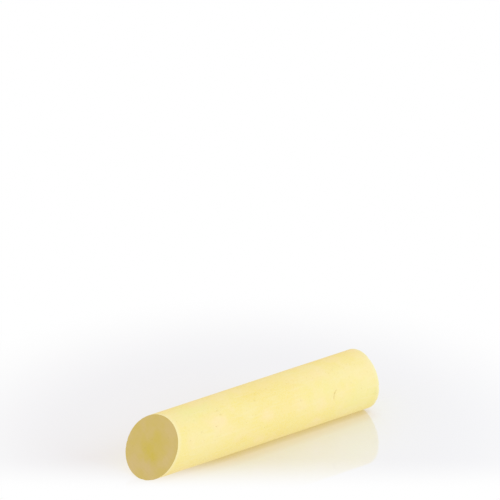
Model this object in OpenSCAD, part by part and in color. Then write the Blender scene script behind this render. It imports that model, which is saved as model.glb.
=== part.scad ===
// Chalk stick: one solid round stick of yellow board chalk. One end is square and
// has a softened rim. The other end was sliced off on a slant, so one side of the
// stick is longer than the other. The stick stands on its square end, its axis along
// +Z, with the origin at the middle of that end and the short side facing +X.

/* [Stick] */
// Diameter of the stick
stick_d = 15.9; // [8:0.1:30]
// Length along the axis, from the square end to the middle of the slanted face
stick_l = 68; // [30:0.5:120]
// Radius of the softened rim round the square end
foot_rim_r = 0.5; // [0.1:0.1:1.5]

/* [Slanted end] */
// Tilt of the slanted face away from square
cut_tilt = 25; // [0:0.5:40]

/* [Nick in the side] */
// Height of the nick's middle above the square end
nick_z = 14.8; // [4:0.1:25]
// Direction that the nick faces, turned from the short side
nick_turn = -48; // [-180:1:180]
// Lean of the nick away from a ring round the stick
nick_lean = -29; // [-45:1:45]
// Distance between the crescent nick's two tips
nick_span = 3; // [1:0.1:4]
// Radius of the crescent's curve, on the stick's skin
nick_curve_r = 2.8; // [2.1:0.1:6]
// Width of the nick
nick_w = 0.3; // [0.1:0.05:1]
// Depth of the nick at its middle
nick_depth = 0.2; // [0.05:0.05:0.6]

/* [Hidden] */
$fn = 180;
stick_r = stick_d / 2;
// The uncut stick is one diameter longer than the axis, past any slant's long side
blank_l = stick_l + stick_d;
// A cube of three diameters covers all that is cut off, at any tilt
block_w = 3 * stick_d;

// Half of the uncut stick's section, with the rim of the square end as an arc
module half_profile() {
    square([stick_r - foot_rim_r, blank_l]);
    translate([0, foot_rim_r])
        square([stick_r, blank_l - foot_rim_r]);
    translate([stick_r - foot_rim_r, foot_rim_r])
        circle(r = foot_rim_r);
}

module round_blank() {
    rotate_extrude()
        half_profile();
}

// Everything above the slanted face, which falls toward +X
module slant_block() {
    translate([0, 0, stick_l])
        rotate([0, cut_tilt, 0])
        translate([-block_w / 2, -block_w / 2, 0])
        cube(block_w);
}

// A thin ring, pressed in from outside, of which only the top stretch marks the skin
module nick_ring() {
    translate([0, 0, -nick_curve_r])
        rotate([0, 90, 0])
        difference() {
            cylinder(r = nick_curve_r + nick_w / 2, h = stick_r);
            cylinder(r = nick_curve_r - nick_w / 2, h = 3 * stick_r, center = true);
        }
}

module nick_cutter() {
    rotate([0, 0, nick_turn])
        translate([stick_r - nick_depth, 0, nick_z])
        rotate([nick_lean, 0, 0])
        intersection() {
            nick_ring();
            translate([0, -nick_span / 2, -nick_curve_r])
                cube([stick_r, nick_span, 2 * nick_curve_r]);
        }
}

module chalk_stick() {
    color("khaki")
        difference() {
            round_blank();
            slant_block();
            nick_cutter();
        }
}

chalk_stick();
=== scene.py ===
"""One stick of pale yellow board chalk: its powdery moulded side, and one end sliced on a slant.

The stick stands on its square end in this frame. It is seen lying on its side on a glossy
white table, so the table's plane touches the stick's side and the camera is rolled to match.
"""
import math

import bpy
from mathutils import Matrix, Vector


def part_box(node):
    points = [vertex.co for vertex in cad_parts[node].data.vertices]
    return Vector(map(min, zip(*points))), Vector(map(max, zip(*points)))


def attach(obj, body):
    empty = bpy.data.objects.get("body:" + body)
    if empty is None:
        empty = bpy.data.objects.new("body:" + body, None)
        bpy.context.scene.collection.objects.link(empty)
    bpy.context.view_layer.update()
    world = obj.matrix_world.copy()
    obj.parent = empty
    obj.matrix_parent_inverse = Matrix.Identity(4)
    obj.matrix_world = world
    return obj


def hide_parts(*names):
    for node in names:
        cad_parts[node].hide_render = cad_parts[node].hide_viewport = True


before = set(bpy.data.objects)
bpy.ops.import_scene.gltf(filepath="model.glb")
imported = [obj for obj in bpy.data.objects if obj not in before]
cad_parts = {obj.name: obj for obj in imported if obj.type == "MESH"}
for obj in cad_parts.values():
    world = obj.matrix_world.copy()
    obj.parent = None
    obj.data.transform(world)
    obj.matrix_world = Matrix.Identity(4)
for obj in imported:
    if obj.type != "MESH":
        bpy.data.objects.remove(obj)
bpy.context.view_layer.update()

FOOT_CORNER, TOP_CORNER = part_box("chalk_stick")
MM = 0.001

# ---------------------------------------------------------------- sizes of the stick
RADIUS = (TOP_CORNER.x - FOOT_CORNER.x) / 2
CUT_TILT = math.radians(25)
CUT_NORMAL = (math.sin(CUT_TILT), 0.0, math.cos(CUT_TILT))
AXIS_LENGTH = TOP_CORNER.z - RADIUS * math.tan(CUT_TILT)
FOOT_RIM = 0.5 * MM
CUT_RIM = 0.1 * MM

# The crescent nick near the square end: its place, its lean and the arc that it follows
NICK_HEIGHT = 14.8 * MM
NICK_TURN = math.radians(-48)
NICK_LEAN = math.radians(-29)
NICK_CURVE = 2.8 * MM
NICK_WIDTH = 0.42 * MM
NICK_DEPTH = 0.18 * MM
# It starts to fade at the first of these distances from its middle, and ends at the second
NICK_FADE = (1.0 * MM, 1.8 * MM)
# Air holes open at the surface: a few that show, as height and turn, and at most one to a cell
HOLES = ((25.4, -38.9), (38.7, -11.6), (50.4, -7.6), (50.1, -16.6), (52.7, -35.6), (57.4, -37.0))
HOLE_CELL = 4.5 * MM
HOLE_CELLS_BARE = 0.6
HOLE_REACH = 0.30 * MM
HOLE_DEPTH = 0.14 * MM
# A hole's floor is flat out to this share of its reach
HOLE_FLOOR = 0.3
# Crumbs lost from the rims, and the values of their noise at which they start and are deepest
CRUMB_SIZE = 1.3 * MM
CRUMB_REACH = 0.5 * MM
CRUMB_DEPTH = 0.16 * MM
CRUMB_SPREAD = (0.5, 0.72)
# Slow unevenness of the moulded side, and the lines that a blade dragged over the face
SWELL_SIZE = 11 * MM
SWELL_DEPTH = 0.05 * MM
DRAG_SIZE = 0.8 * MM
DRAG_LENGTH = 30 * MM
DRAG_DEPTH = 0.02 * MM
SEED = 7.0
# Nearly all of a noise's values lie between these
NOISE_SPREAD = (0.25, 0.75)

# Faces along each edge of the cube that the bar is bent from, and rows along the bar
CAP_FACES = 72
SIDE_ROWS = 300
# Share of the rows against share of the length: close at both rims and at the nick
ROW_PLACES = ((0.0, 0.0), (0.03, 0.008), (0.185, 0.187), (0.315, 0.239), (0.97, 0.994), (1.0, 1.0))
# How strongly the columns gather on the nick's side, and the rings near the rims
COLUMN_GATHER = 0.4
RING_GATHER = 0.6

# ---------------------------------------------------------------- patterns and marks on the chalk
# Powder clouds, spots that dried unevenly, the inside's clouds, scuffs, and the blade's lines
CLOUD_SIZE = 6 * MM
SPOT_SIZE = 4.5 * MM
STIR_SIZE = 3.5 * MM
SCUFF_SIZE = 0.6 * MM
LINE_SIZE = 0.4 * MM
# How far scuffs and lines are squeezed each way, so that they run long
SCUFF_SQUEEZE = (1, 1, 0.08)
LINE_SQUEEZE = (1, 0.03, 0)
# The grain is under a tenth of a millimetre, and is drawn four times as coarse so that it shows
GRAIN_SIZE = 0.35 * MM
# The values of a pattern at which its tint starts, and at which it is full
CLOUD_SPREAD = (0.35, 0.65)
PINKISH_SPREAD = (0.5, 0.65)
GREENISH_SPREAD = (0.45, 0.3)
SCUFF_SPREAD = (0.55, 0.72)
GRAIN_SPREAD = (0.4, 0.65)
LINE_SPREAD = (0.65, 0.35)
RISING = (0.0, 1.0)
FALLING = (1.0, 0.0)
# The lower side's painted shade, as a height over the stick's middle as it lies, and the rims' paler
# lines, as a distance from either end
LOWER_SIDE_SHADE_SPREAD = (0.3 * RADIUS, -0.3 * RADIUS)
CUT_RIM_SPREAD = (1.2 * MM, 0.3 * MM)
FOOT_RIM_SPREAD = (1.5 * MM, 0.3 * MM)
# Pin holes: at most one to a cell, with some cells bare, and how far each outline is torn
SKIN_PINS = {"cell": 0.8 * MM, "bare": 0.35, "reach": 0.17 * MM, "torn": 0.3 * MM}
FACE_PINS = {"cell": 0.7 * MM, "bare": 0.3, "reach": 0.15 * MM, "torn": 0.25 * MM}
TEAR_SIZE = 0.25 * MM
PIN_FLOOR = 0.2

# Tints of the marks on the side
RICH = "#F8E589"
PINKISH = "#FEE9B4"
PALE = "#FBEDB8"
GREENISH = "#F3EFA3"
DULL = "#E9E394"
# Each mark's height and turn, its reach, how far it is drawn out along the stick, and its strength
SIDE_MARKS = {
    RICH: ((36.0, -42.0, 8.0, 1.2, 0.6), (31.0, -4.6, 3.2, 2.4, 0.6), (39.0, 3.4, 1.3, 3.0, 0.9),
           (45.5, -34.6, 1.5, 2.2, 0.6), (33.0, -94.6, 1.6, 2.4, 0.7), (45.0, -79.6, 1.2, 1.4, 0.7)),
    PINKISH: ((27.0, -46.0, 1.9, 1.8, 0.3), (36.8, -45.0, 2.0, 1.2, 0.7), (51.7, -26.0, 2.4, 1.2, 0.8)),
    PALE: ((42.0, -27.0, 2.0, 1.4, 0.5), (8.0, -16.0, 3.6, 1.2, 0.6), (58.0, -50.0, 5.0, 1.2, 0.3)),
    GREENISH: ((57.0, 12.0, 3.0, 2.0, 0.8), (5.0, -60.0, 4.0, 1.2, 0.4), (8.0, -86.0, 3.5, 2.0, 0.5)),
    DULL: ((1.4, -70.0, 1.3, 0.3, 0.7),),
}
# Tints of the marks on the sliced face, and each mark's X and Y, its reach and its strength
YELLOWER = "#D4C44C"
CHALKIER = "#D9C490"
FACE_MARKS = {
    YELLOWER: ((1.1, 0.3, 3.4, 0.45), (2.8, -0.4, 1.6, 0.25),
               (-1.0, 0.4, 1.6, 0.6), (-2.0, -2.1, 1.9, 0.9)),
    CHALKIER: ((-3.9, -2.8, 2.2, 0.6), (-6.7, 1.2, 2.6, 0.5)),
}
# In a mark's own reaches: the size and depth of the tears round it, and where it ends
MARK_TEAR_SIZE = 1 / 0.9
MARK_TORN = 2.0
MARK_SPREAD = (1.6, 0.0)

# ---------------------------------------------------------------- where the stick lies
# From the short side of the slanted end to the side that is uppermost on the table
UP_TURN = math.radians(25.42)
# The stick recedes from the picture's right by this angle, and is looked down on by that
STICK_YAW = math.radians(38.555)
VIEW_DOWN = math.radians(23.342)
# The camera's distance in metres, and its lens and sensor in millimetres
CAMERA_AWAY = 2.0
LENS = 532.6
SENSOR = 36.0
# The middle of the square end, from the point on the table that the camera looks at
FOOT_RIGHT = 28.38 * MM
FOOT_NEARER = 101.62 * MM
ALONG = Vector((0, 0, -1))
UP = Vector((math.cos(UP_TURN), math.sin(UP_TURN), 0))
ACROSS = ALONG.cross(UP)
RIGHT = math.cos(STICK_YAW) * ALONG + math.sin(STICK_YAW) * ACROSS
AHEAD = math.sin(STICK_YAW) * ALONG - math.cos(STICK_YAW) * ACROSS
AIM = FOOT_NEARER * AHEAD - FOOT_RIGHT * RIGHT - RADIUS * UP

# ---------------------------------------------------------------- the table and the lights
TABLE_REACH = 0.5
# The stick's middle, and the way from it towards the viewer, in the table's own frame
STICK_ON_TABLE = (FOOT_RIGHT - AXIS_LENGTH / 2 * math.cos(STICK_YAW),
                  -FOOT_NEARER - AXIS_LENGTH / 2 * math.sin(STICK_YAW), 0.0)
TO_VIEWER = (math.sin(STICK_YAW), -math.cos(STICK_YAW), 0)
# The table bleaches to white over these stretches: at its front, and away from the stick
FRONT_FADE = (-153 * MM, -132 * MM)
ROUND_FADE = (45 * MM, 95 * MM)
# Behind the line of contact it mirrors only the white room
MIRROR_START = -2 * MM
MIRROR_SHARE = 0.30
MIRROR_ROUGHNESS = 0.03
# Reach of the soft shade beside the stick, and of the deep one right under it
SHADE_REACH = 4.0 * MM
CREVICE_REACH = 1.5 * MM
# The key box stands to the right, the front and the top of the stick, and the other one opposite
BOX_PLACE = 0.85 * RIGHT - 0.26 * AHEAD + 0.43 * UP
BOX_SIZE = 0.5
BOX_POWER = 2.85
BOX_TINT = "#C0EBFF"
FILL_STRENGTH = 0.908
FILL_TINT = "#FFF5F0"

MATH = "ShaderNodeMath"
VECTOR = "ShaderNodeVectorMath"
TURN = "ShaderNodeVectorRotate"
SPLIT = "ShaderNodeSeparateXYZ"
JOIN = "ShaderNodeCombineXYZ"
RANGE = "ShaderNodeMapRange"
MIX = "ShaderNodeMix"
NOISE = "ShaderNodeTexNoise"
CELLS = "ShaderNodeTexVoronoi"
MIX_SHADER = "ShaderNodeMixShader"
WHITE = (1.0, 1.0, 1.0, 1.0)


def srgb(code):
    """Linear colour, with an alpha of one, of an sRGB hex code."""
    parts = [int(code[i:i + 2], 16) / 255 for i in (1, 3, 5)]
    return (*[p / 12.92 if p <= 0.04045 else ((p + 0.055) / 1.055) ** 2.4 for p in parts], 1.0)


def add(tree, kind, *inputs, **settings):
    """Adds a node and sets its options, then fills the inputs it shows, in order or by name.

    An input is a value, a socket, or a node that gives its first shown output.
    """
    node = tree.nodes.new(kind)
    for name, value in settings.items():
        setattr(node, name, value)
    shown = [socket for socket in node.inputs if socket.enabled]
    pairs = list(zip(shown, inputs))
    if inputs and isinstance(inputs[0], dict):
        by_name = inputs[0].items()
        pairs = [(next(s for s in shown if s.name == name), value) for name, value in by_name]
    for socket, value in pairs:
        if isinstance(value, bpy.types.Node):
            value = next(s for s in value.outputs if s.enabled)
        if isinstance(value, bpy.types.NodeSocket):
            tree.links.new(value, socket)
        elif value is not None:
            socket.default_value = value
    return node


def on_side(height, turn):
    """The point of the round side at a height in millimetres and a turn in degrees."""
    turn = math.radians(turn)
    return (RADIUS * math.cos(turn), RADIUS * math.sin(turn), height * MM)


def on_face(x, y):
    """The point of the sliced face at this X and Y, in millimetres."""
    return (x * MM, y * MM, AXIS_LENGTH - x * MM * math.tan(CUT_TILT))


def below_face(tree, point):
    """How deep the point lies under the plane of the sliced face."""
    level = add(tree, VECTOR, point, CUT_NORMAL, operation="DOT_PRODUCT")
    return add(tree, MATH, AXIS_LENGTH * CUT_NORMAL[2], level, operation="SUBTRACT")


def scattered(tree, point, cell, reach, bare):
    """Distance to the nearest scattered dot, where one is its rim. A share of cells is left bare."""
    cells = add(tree, CELLS, {"Vector": point, "Scale": 1 / cell})
    chance = add(tree, SPLIT, cells.outputs["Color"])
    # A bare cell has a dot too small to see, because no width at all would divide by zero
    width = add(tree, RANGE, chance, bare, 1.0, 0.001, reach / cell)
    return add(tree, MATH, cells.outputs["Distance"], width, operation="DIVIDE")


# ---------------------------------------------------------------- the stick's shape
def row_places(tree, share):
    """Share of the length at which each row of the bar lies."""
    curve = add(tree, "ShaderNodeFloatCurve", 1.0, share)
    points = curve.mapping.curves[0].points
    # The curve has its two ends already
    for place, height in ROW_PLACES[1:-1]:
        points.new(place, height)
    for point in points:
        point.handle_type = "VECTOR"
    curve.mapping.update()
    return curve


def outward(tree, point, ring):
    """The way out from the axis that each column of the cube takes.

    The columns are even round the bar, and then drawn together on the nick's side.
    """
    swung = add(tree, VECTOR, point, (math.pi / 4, math.pi / 4, 0), operation="MULTIPLY")
    spread = add(tree, VECTOR, swung, operation="TANGENT")
    even = add(tree, VECTOR, spread, operation="NORMALIZE")
    beside_nick = (-math.sin(NICK_TURN), math.cos(NICK_TURN), 0)
    aside = add(tree, VECTOR, even, beside_nick, operation="DOT_PRODUCT")
    gather = add(tree, MATH, aside, -COLUMN_GATHER, operation="MULTIPLY")
    gather = add(tree, MATH, gather, ring, operation="MULTIPLY")
    return add(tree, TURN, even, (0, 0, 0), (0, 0, 1), gather)


def from_axis(tree, way, reach, height):
    """The point at a reach from the axis, and at a height."""
    out = add(tree, VECTOR, {"Vector": way, "Scale": reach}, operation="SCALE")
    return add(tree, VECTOR, out, add(tree, JOIN, 0.0, 0.0, height))


def round_bar(tree, size):
    """Where each point of a cube from -1 to 1 goes, to make a round bar with rounded rims."""
    point = add(tree, "GeometryNodeInputPosition")
    part = add(tree, SPLIT, point)
    across_x = add(tree, MATH, part.outputs["X"], operation="ABSOLUTE")
    across_y = add(tree, MATH, part.outputs["Y"], operation="ABSOLUTE")
    ring = add(tree, MATH, across_x, across_y, operation="MAXIMUM")
    way = outward(tree, point, ring)
    quarter = add(tree, MATH, ring, math.pi / 2, operation="MULTIPLY")
    dense = add(tree, MATH, quarter, operation="SINE")
    reach = add(tree, MIX, RING_GATHER, ring, dense)
    reach = add(tree, MATH, reach, size["Radius"], operation="MULTIPLY")
    share = row_places(tree, add(tree, RANGE, part.outputs["Z"], -1.0, 1.0, 0.0, 1.0))
    height = add(tree, MATH, share, size["Length"], operation="MULTIPLY")

    # A core lies a rim's radius inside the bar, and each point is drawn in to that far from it
    upper = add(tree, MATH, share, 0.5, operation="GREATER_THAN")
    rim = add(tree, MIX, upper, size["Foot rim"], size["Cut rim"])
    core_reach = add(tree, MATH, size["Radius"], rim, operation="SUBTRACT")
    core_reach = add(tree, MATH, reach, core_reach, operation="MINIMUM")
    core_top = add(tree, MATH, size["Length"], rim, operation="SUBTRACT")
    core_height = add(tree, "ShaderNodeClamp", height, rim, core_top)
    core = from_axis(tree, way, core_reach, core_height)
    away = add(tree, VECTOR, from_axis(tree, way, reach, height), core, operation="SUBTRACT")
    away = add(tree, VECTOR, away, operation="NORMALIZE")
    away = add(tree, VECTOR, {"Vector": away, "Scale": rim}, operation="SCALE")
    return add(tree, VECTOR, core, away)


def slant(tree, size, place):
    """Shears the bar, more and more along its length, until its top face has the cut's tilt."""
    part = add(tree, SPLIT, place)
    slope = add(tree, MATH, size["Cut tilt"], operation="TANGENT")
    share = add(tree, MATH, part.outputs["Z"], size["Length"], operation="DIVIDE")
    drop = add(tree, MATH, part.outputs["X"], slope, operation="MULTIPLY")
    drop = add(tree, MATH, drop, share, operation="MULTIPLY")
    return add(tree, VECTOR, place, add(tree, JOIN, 0.0, 0.0, drop), operation="SUBTRACT")


def nick(tree, size, point):
    """Depth of the crescent nick: a groove along a short arc, which dies away at its tips."""
    faced = add(tree, TURN, point, (0, 0, 0), (0, 0, 1), -NICK_TURN)
    faced = add(tree, VECTOR, faced, (0, 0, NICK_HEIGHT), operation="SUBTRACT")
    near = add(tree, MATH, add(tree, SPLIT, faced), 0.0, operation="GREATER_THAN")
    level = add(tree, TURN, faced, (0, 0, 0), (1, 0, 0), -NICK_LEAN)
    flat = add(tree, VECTOR, level, (0, 1, 1), operation="MULTIPLY")
    from_middle = add(tree, VECTOR, flat, operation="LENGTH")
    from_centre = add(tree, VECTOR, add(tree, VECTOR, flat, (0, 0, NICK_CURVE)), operation="LENGTH")
    off_arc = add(tree, MATH, from_centre, NICK_CURVE, operation="SUBTRACT")
    off_arc = add(tree, MATH, off_arc, operation="ABSOLUTE")
    half = add(tree, MATH, size["Nick width"], 0.5, operation="MULTIPLY")
    groove = add(tree, RANGE, off_arc, 0.0, half, size["Nick depth"], 0.0,
                 interpolation_type="SMOOTHSTEP")
    tips = add(tree, RANGE, from_middle, *NICK_FADE, 1.0, 0.0)
    groove = add(tree, MATH, groove, tips, operation="MULTIPLY")
    return add(tree, MATH, groove, near, operation="MULTIPLY")


def air_holes(tree, size, point):
    """Depth of the small round holes where air was caught at the surface."""
    away = scattered(tree, point, HOLE_CELL, HOLE_REACH, HOLE_CELLS_BARE)
    for height, turn in HOLES:
        apart = add(tree, VECTOR, point, on_side(height, turn), operation="DISTANCE")
        apart = add(tree, MATH, apart, HOLE_REACH, operation="DIVIDE")
        away = add(tree, MATH, away, apart, operation="MINIMUM")
    return add(tree, RANGE, away, HOLE_FLOOR, 1.0, size["Hole depth"], 0.0,
               interpolation_type="SMOOTHSTEP")


def near_rims(tree, point):
    """One on the rims of both ends, falling to nothing a crumb's reach away from them."""
    height = add(tree, VECTOR, point, (0, 0, 1), operation="DOT_PRODUCT")
    from_end = add(tree, MATH, below_face(tree, point), height, operation="MINIMUM")
    flat = add(tree, VECTOR, point, (1, 1, 0), operation="MULTIPLY")
    inside = add(tree, MATH, RADIUS, add(tree, VECTOR, flat, operation="LENGTH"), operation="SUBTRACT")
    from_rim = add(tree, MATH, from_end, inside, operation="MAXIMUM")
    return add(tree, RANGE, from_rim, 0.0, CRUMB_REACH, 1.0, 0.0)


def crumbled_rims(tree, size, point):
    """Depth lost from the rims, in a few shallow crumbs."""
    pattern = {"Vector": point, "W": size["Seed"], "Scale": 1 / CRUMB_SIZE, "Detail": 2.0}
    patches = add(tree, NOISE, pattern, noise_dimensions="4D")
    lost = add(tree, RANGE, patches, *CRUMB_SPREAD, 0.0, size["Crumb depth"],
               interpolation_type="SMOOTHSTEP")
    return add(tree, MATH, lost, near_rims(tree, point), operation="MULTIPLY")


def swell(tree, size, point):
    """How far the moulded side lies inside its true round."""
    pattern = {"Vector": point, "W": size["Seed"], "Scale": 1 / SWELL_SIZE, "Detail": 1.0}
    slow = add(tree, NOISE, pattern, noise_dimensions="4D")
    return add(tree, RANGE, slow, *NOISE_SPREAD, -SWELL_DEPTH, 0.0)


def drag_lines(tree, point):
    """Height of the faint lines that the blade left across the sliced face."""
    stretched = add(tree, VECTOR, point, (1 / DRAG_SIZE, 1 / DRAG_LENGTH, 0), operation="MULTIPLY")
    lines = add(tree, NOISE, {"Vector": stretched, "Scale": 1.0, "Detail": 2.0})
    return add(tree, RANGE, lines, *NOISE_SPREAD, -DRAG_DEPTH, 0.0)


def worn(tree, size, bar):
    """The bar with its nick, holes and crumbs pressed in, and each surface's own unevenness."""
    point = add(tree, "GeometryNodeInputPosition")
    flagged = add(tree, "GeometryNodeInputNamedAttribute", "sliced")
    hollow = add(tree, MATH, nick(tree, size, point), air_holes(tree, size, point), operation="MAXIMUM")
    lost = add(tree, MATH, hollow, crumbled_rims(tree, size, point))
    share = add(tree, MATH, hollow, size["Hole depth"], operation="DIVIDE")
    bar = add(tree, "GeometryNodeStoreNamedAttribute", bar, True, "hollow", share, domain="POINT")
    relief = add(tree, MIX, flagged, swell(tree, size, point), drag_lines(tree, point))
    relief = add(tree, MATH, relief, lost, operation="SUBTRACT")
    normal = add(tree, "GeometryNodeInputNormal")
    offset = add(tree, VECTOR, {"Vector": normal, "Scale": relief}, operation="SCALE")
    return add(tree, "GeometryNodeSetPosition", {"Geometry": bar, "Offset": offset})


def stick_tree(skin, sliced):
    """The geometry tree that makes the whole stick, and the sizes that it takes."""
    tree = bpy.data.node_groups.new("chalk_stick_shape", "GeometryNodeTree")
    sizes = {"Radius": RADIUS, "Length": AXIS_LENGTH, "Cut tilt": CUT_TILT, "Foot rim": FOOT_RIM,
             "Cut rim": CUT_RIM, "Nick width": NICK_WIDTH, "Nick depth": NICK_DEPTH,
             "Hole depth": HOLE_DEPTH, "Crumb depth": CRUMB_DEPTH, "Seed": SEED}
    for name, value in sizes.items():
        socket = tree.interface.new_socket(name, in_out="INPUT", socket_type="NodeSocketFloat")
        socket.default_value = value
    tree.interface.new_socket("Stick", in_out="OUTPUT", socket_type="NodeSocketGeometry")
    size = tree.nodes.new("NodeGroupInput").outputs

    cube = add(tree, "GeometryNodeMeshCube", (2, 2, 2), CAP_FACES + 1, CAP_FACES + 1, SIDE_ROWS + 1)
    height = add(tree, SPLIT, add(tree, "GeometryNodeInputPosition")).outputs["Z"]
    # The cube's top is at a height of one
    on_top = add(tree, MATH, height, 0.9999, operation="GREATER_THAN")
    cube = add(tree, "GeometryNodeStoreNamedAttribute", cube, True, "sliced", on_top, domain="FACE")
    bar = add(tree, "GeometryNodeSetPosition", cube, True, slant(tree, size, round_bar(tree, size)))
    bar = worn(tree, size, bar)
    smooth = add(tree, "GeometryNodeSetShadeSmooth", {"Geometry": bar, "Shade Smooth": True})
    whole = add(tree, "GeometryNodeRealizeInstances", smooth)
    dressed = add(tree, "GeometryNodeSetMaterial", {"Geometry": whole, "Material": skin})
    flagged = add(tree, "GeometryNodeInputNamedAttribute", "sliced")
    on_slice = add(tree, MATH, flagged, 0.5, operation="GREATER_THAN")
    dressed = add(tree, "GeometryNodeSetMaterial",
                  {"Geometry": dressed, "Selection": on_slice, "Material": sliced})
    add(tree, "NodeGroupOutput", dressed)
    return tree, sizes


def chalk_stick():
    """The whole stick as a plain mesh."""
    tree, sizes = stick_tree(moulded_chalk(), sliced_chalk())
    blank = bpy.data.objects.new("stick_blank", bpy.data.meshes.new("stick_blank"))
    bpy.context.scene.collection.objects.link(blank)
    shape = blank.modifiers.new("Shape", "NODES")
    shape.node_group = tree
    for item in tree.interface.items_tree:
        if item.name in sizes:
            shape[item.identifier] = sizes[item.name]
    made = blank.evaluated_get(bpy.context.evaluated_depsgraph_get())
    mesh = bpy.data.meshes.new_from_object(made)
    mesh.name = "yellow_chalk_stick"
    bpy.data.objects.remove(blank)
    stick = bpy.data.objects.new("yellow_chalk_stick", mesh)
    bpy.context.scene.collection.objects.link(stick)
    return stick


# ---------------------------------------------------------------- materials
def material(name):
    """A new material with an empty node tree."""
    made = bpy.data.materials.new(name)
    made.use_nodes = True
    made.node_tree.nodes.clear()
    return made, made.node_tree


def tinted(tree, colour, pattern, spread, strength, tint, **settings):
    """The colour under a tint, which starts and is full at the spread's two values of a pattern."""
    share = add(tree, RANGE, pattern, *spread, 0.0, strength, **settings)
    return add(tree, MIX, {"Factor": share, "A": colour, "B": srgb(tint)}, data_type="RGBA")


def ragged(tree, point, size, torn):
    """The point moved a little each way, so that what is drawn round it has a torn outline."""
    moved = add(tree, NOISE, {"Vector": point, "Scale": 1 / size, "Detail": 3.0, "Roughness": 0.6})
    moved = add(tree, VECTOR, moved.outputs["Color"], (0.5, 0.5, 0.5), operation="SUBTRACT")
    moved = add(tree, VECTOR, {"Vector": moved, "Scale": torn}, operation="SCALE")
    return add(tree, VECTOR, point, moved)


def marked(tree, colour, point, place, reach, stretch, strength, tint):
    """The colour with one ragged mark on it. Its reach is in millimetres."""
    apart = add(tree, VECTOR, point, place, operation="SUBTRACT")
    shrunk = (1 / (reach * MM), 1 / (reach * MM), 1 / (reach * stretch * MM))
    apart = add(tree, VECTOR, apart, shrunk, operation="MULTIPLY")
    apart = ragged(tree, apart, MARK_TEAR_SIZE, MARK_TORN)
    away = add(tree, VECTOR, apart, operation="LENGTH")
    return tinted(tree, colour, away, MARK_SPREAD, strength, tint, interpolation_type="SMOOTHSTEP")


def pin_holes(tree, point, cell, bare, reach, torn):
    """One in the middle of each fine ragged hole, falling to nothing at its rim."""
    away = scattered(tree, ragged(tree, point, TEAR_SIZE, torn), cell, reach, bare)
    return add(tree, RANGE, away, PIN_FLOOR, 1.0, 1.0, 0.0)


def chalk_surface(tree, colour, relief, strength, depth, roughness, specular):
    """Ends the material in a matt surface of this colour, with the relief as fine bumps."""
    bump = add(tree, "ShaderNodeBump", {"Strength": strength, "Distance": depth, "Height": relief})
    shader = add(tree, "ShaderNodeBsdfPrincipled", {
        "Base Color": colour, "Roughness": roughness, "IOR": 1.5, "Specular IOR Level": specular,
        "Diffuse Roughness": 0.0, "Normal": bump})
    add(tree, "ShaderNodeOutputMaterial", shader)


def powder_and_painted_light(tree, point):
    """The colours of the moulded side: its dust from cloud to cloud and from rim to rim, with painted
    shade on the lower side and painted highlights along the rims.
    """
    # Powder lies thicker in soft clouds
    clouds = add(tree, NOISE, {"Vector": point, "Scale": 1 / CLOUD_SIZE, "Detail": 3.0})
    colour = tinted(tree, srgb("#F9EA95"), clouds, CLOUD_SPREAD, 1.0, "#FAEBAC")
    # Painted shade: the side that lies lowest on the table is tinted a richer, darker yellow, for the
    # light it gets there
    upward = add(tree, VECTOR, point, UP, operation="DOT_PRODUCT")
    colour = tinted(tree, colour, upward, LOWER_SIDE_SHADE_SPREAD, 0.8, "#F9E98F", interpolation_type="SMOOTHSTEP")
    # Spots that dried slower or faster lean to pink or to green
    pattern = {"Vector": point, "Scale": 1 / SPOT_SIZE, "Detail": 2.0, "W": 3.0}
    lean = add(tree, NOISE, pattern, noise_dimensions="4D")
    colour = tinted(tree, colour, lean, PINKISH_SPREAD, 0.6, "#FDE9AE")
    colour = tinted(tree, colour, lean, GREENISH_SPREAD, 0.4, "#F5EDA4")
    for tint, marks in SIDE_MARKS.items():
        for height, turn, reach, stretch, strength in marks:
            colour = marked(tree, colour, point, on_side(height, turn), reach, stretch, strength, tint)
    # Both rims are painted paler: partly worn dust, partly a painted highlight where the rounded rims
    # catch the light
    colour = tinted(tree, colour, below_face(tree, point), CUT_RIM_SPREAD, 0.7, "#FBF1BC")
    height = add(tree, VECTOR, point, (0, 0, 1), operation="DOT_PRODUCT")
    return tinted(tree, colour, height, FOOT_RIM_SPREAD, 0.6, "#F5F3C4")


def moulded_chalk():
    """Moulded chalk, dried and handled: dead matt, dusted with its own paler powder."""
    made, tree = material("moulded_chalk_powdery")
    point = add(tree, "ShaderNodeTexCoord").outputs["Object"]
    colour = powder_and_painted_light(tree, point)
    # Painted shade: air holes and the nick are darkened, for the shade that lies in them
    hollow = add(tree, "ShaderNodeAttribute", attribute_name="hollow").outputs["Fac"]
    colour = tinted(tree, colour, hollow, RISING, 0.3, "#CDAE74")
    # Scuffs from its neighbours in the box run along the stick
    squeezed = add(tree, VECTOR, point, SCUFF_SQUEEZE, operation="MULTIPLY")
    scuffs = add(tree, NOISE, {"Vector": squeezed, "Scale": 1 / SCUFF_SIZE, "Detail": 2.0})
    colour = tinted(tree, colour, scuffs, SCUFF_SPREAD, 0.22, "#FCF2C8")
    # Grain stands out of the dust; pin holes are darker, partly bare of dust and partly painted shade in
    # them
    grain = add(tree, NOISE, {"Vector": point, "Scale": 1 / GRAIN_SIZE, "Detail": 3.0, "Roughness": 0.7})
    colour = tinted(tree, colour, grain, GRAIN_SPREAD, 0.5, "#FBF1B8")
    pores = pin_holes(tree, point, **SKIN_PINS)
    colour = tinted(tree, colour, pores, RISING, 0.5, "#DCC27C")
    relief = add(tree, MATH, grain, pores, operation="SUBTRACT")
    chalk_surface(tree, colour, relief, strength=0.8, depth=0.05 * MM, roughness=0.92, specular=0.1)
    return made


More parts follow.
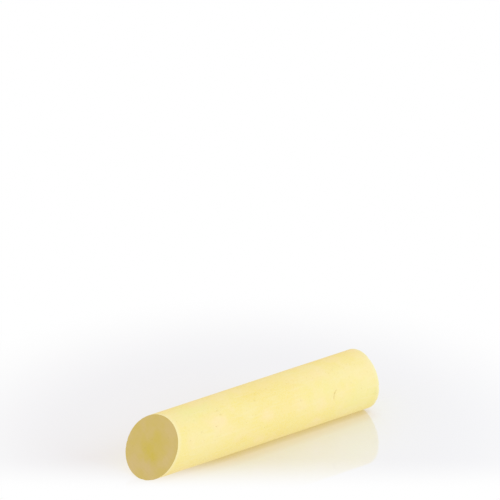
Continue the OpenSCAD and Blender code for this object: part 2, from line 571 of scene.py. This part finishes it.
def sliced_chalk():
    """Chalk sliced with a blade: the dense inside, smoother than the powdery skin, and darker, partly as
    denser chalk and partly as painted shade for a face turned from the light.
    """
    made, tree = material("sliced_chalk_dense_and_shaded")
    point = add(tree, "ShaderNodeTexCoord").outputs["Object"]
    # Slightly uneven tint, as it was stirred
    cloud = add(tree, NOISE, {"Vector": point, "Scale": 1 / STIR_SIZE, "Detail": 3.0})
    # The base tan is darker than the side partly as denser chalk and partly as painted shade, for a face
    # turned from the light
    colour = tinted(tree, srgb("#D7C573"), cloud, CLOUD_SPREAD, 1.0, "#D9C684")
    for tint, marks in FACE_MARKS.items():
        for x, y, reach, strength in marks:
            colour = marked(tree, colour, point, on_face(x, y), reach, 1.0, strength, tint)
    # Painted shade: air holes are darkened, for the shade that lies in them
    hollow = add(tree, "ShaderNodeAttribute", attribute_name="hollow").outputs["Fac"]
    colour = tinted(tree, colour, hollow, RISING, 0.6, "#A8925A")
    # The blade drew fine lines across, and opened pin holes, which are darker, partly as painted shade
    # in them
    squeezed = add(tree, VECTOR, point, LINE_SQUEEZE, operation="MULTIPLY")
    pattern = {"Vector": squeezed, "Scale": 1 / LINE_SIZE, "Detail": 3.0, "Roughness": 0.6}
    lines = add(tree, NOISE, pattern)
    colour = tinted(tree, colour, lines, LINE_SPREAD, 0.14, "#CBB76C")
    pores = pin_holes(tree, point, **FACE_PINS)
    colour = tinted(tree, colour, pores, RISING, 0.5, "#B39B5C")
    relief = add(tree, MATH, lines, pores, operation="SUBTRACT")
    chalk_surface(tree, colour, relief, strength=0.5, depth=0.04 * MM, roughness=0.8, specular=0.15)
    return made


def table_colour(tree):
    """The table's own white, with a soft shade beside the stick and a warm dark one under it."""
    beside = add(tree, "ShaderNodeAmbientOcclusion", {"Distance": SHADE_REACH}).outputs["AO"]
    crevice = add(tree, "ShaderNodeAmbientOcclusion", {"Distance": CREVICE_REACH}).outputs["AO"]
    colour = tinted(tree, srgb("#F1F5FB"), beside, FALLING, 1.0, "#ECE1E2")
    return tinted(tree, colour, crevice, FALLING, 1.0, "#D5C8AE")


def table_shown(tree, point):
    """Share of the table that shows, before it bleaches to plain white."""
    front = add(tree, SPLIT, point).outputs["Y"]
    front = add(tree, RANGE, front, *FRONT_FADE, 0.0, 1.0, interpolation_type="SMOOTHSTEP")
    away = add(tree, VECTOR, point, STICK_ON_TABLE, operation="DISTANCE")
    around = add(tree, RANGE, away, *ROUND_FADE, 1.0, 0.0, interpolation_type="SMOOTHSTEP")
    return add(tree, MATH, front, around, operation="MULTIPLY")


def glossy_white_sheet():
    """A glossy white sheet under soft light: it mirrors the stick, and bleaches to plain white."""
    made, tree = material("glossy_white_sheet")
    point = add(tree, "ShaderNodeTexCoord").outputs["Object"]
    sheet = add(tree, "ShaderNodeBsdfDiffuse", table_colour(tree))
    white = add(tree, "ShaderNodeEmission", WHITE, 1.0)
    mirror = add(tree, "ShaderNodeBsdfGlossy", WHITE, MIRROR_ROUGHNESS)
    nearer = add(tree, VECTOR, point, STICK_ON_TABLE, operation="SUBTRACT")
    nearer = add(tree, VECTOR, nearer, TO_VIEWER, operation="DOT_PRODUCT")
    in_front = add(tree, RANGE, nearer, MIRROR_START, 0.0, 0.0, 1.0)
    mirror = add(tree, MIX_SHADER, in_front, white, mirror)
    gloss = add(tree, MIX_SHADER, MIRROR_SHARE, sheet, mirror)
    top = add(tree, MIX_SHADER, table_shown(tree, point), white, gloss)
    # From below, the sheet isn't there
    below = add(tree, "ShaderNodeNewGeometry").outputs["Backfacing"]
    clear = add(tree, "ShaderNodeBsdfTransparent")
    add(tree, "ShaderNodeOutputMaterial", add(tree, MIX_SHADER, below, top, clear))
    return made


# ---------------------------------------------------------------- the stage
def placed(right, up, place):
    """Matrix of an object whose X and Y axes are these two directions."""
    turn = Matrix((right, up, right.cross(up))).transposed()
    return Matrix.Translation(place) @ turn.to_4x4()


def table():
    """One sheet under the stick's side. It shows the stick's shade, and casts nothing back on it."""
    mesh = bpy.data.meshes.new("table")
    corners = ((-1, -1), (1, -1), (1, 1), (-1, 1))
    mesh.from_pydata([(TABLE_REACH * x, TABLE_REACH * y, 0) for x, y in corners], [], [(0, 1, 2, 3)])
    mesh.materials.append(glossy_white_sheet())
    top = bpy.data.objects.new("table", mesh)
    bpy.context.scene.collection.objects.link(top)
    top.matrix_world = placed(RIGHT, AHEAD, AIM)
    top.visible_diffuse = False
    top.visible_shadow = False


def softbox(name, place):
    """A square area light at a place beside the stick's middle, which it faces."""
    lamp = bpy.data.lights.new(name, "AREA")
    lamp.shape = "SQUARE"
    lamp.size = BOX_SIZE
    lamp.energy = BOX_POWER
    lamp.color = srgb(BOX_TINT)[:3]
    holder = bpy.data.objects.new(name, lamp)
    bpy.context.scene.collection.objects.link(holder)
    holder.location = Vector((0, 0, AXIS_LENGTH / 2)) + place
    holder.rotation_euler = place.to_track_quat("Z", "Y").to_euler()
    holder.visible_camera = False
    holder.visible_glossy = False


def studio_world():
    """Soft, slightly warm light from all round, and plain white wherever the room is seen."""
    world = bpy.data.worlds.new("studio")
    world.use_nodes = True
    tree = world.node_tree
    tree.nodes.clear()
    fill = add(tree, "ShaderNodeBackground", srgb(FILL_TINT), FILL_STRENGTH)
    white = add(tree, "ShaderNodeBackground", WHITE, 1.0)
    path = add(tree, "ShaderNodeLightPath")
    seen = add(tree, MATH, path.outputs["Is Camera Ray"], path.outputs["Is Glossy Ray"],
               operation="MAXIMUM")
    seen = add(tree, MATH, seen, path.outputs["Is Transmission Ray"], operation="MAXIMUM")
    add(tree, "ShaderNodeOutputWorld", add(tree, MIX_SHADER, seen, fill, white))
    bpy.context.scene.world = world


def camera():
    """A long lens that looks down on the stick as it lies on the table."""
    look = math.cos(VIEW_DOWN) * AHEAD - math.sin(VIEW_DOWN) * UP
    picture_up = math.sin(VIEW_DOWN) * AHEAD + math.cos(VIEW_DOWN) * UP
    lens = bpy.data.cameras.new("camera")
    lens.lens = LENS
    lens.sensor_width = SENSOR
    holder = bpy.data.objects.new("camera", lens)
    bpy.context.scene.collection.objects.link(holder)
    holder.matrix_world = placed(RIGHT, picture_up, AIM - CAMERA_AWAY * look)
    bpy.context.scene.camera = holder


stick = chalk_stick()
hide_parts("chalk_stick")
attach(stick, "root")

table()
softbox("key", BOX_PLACE)
softbox("back", -BOX_PLACE)
studio_world()
camera()
bpy.context.scene.view_settings.view_transform = "Standard"
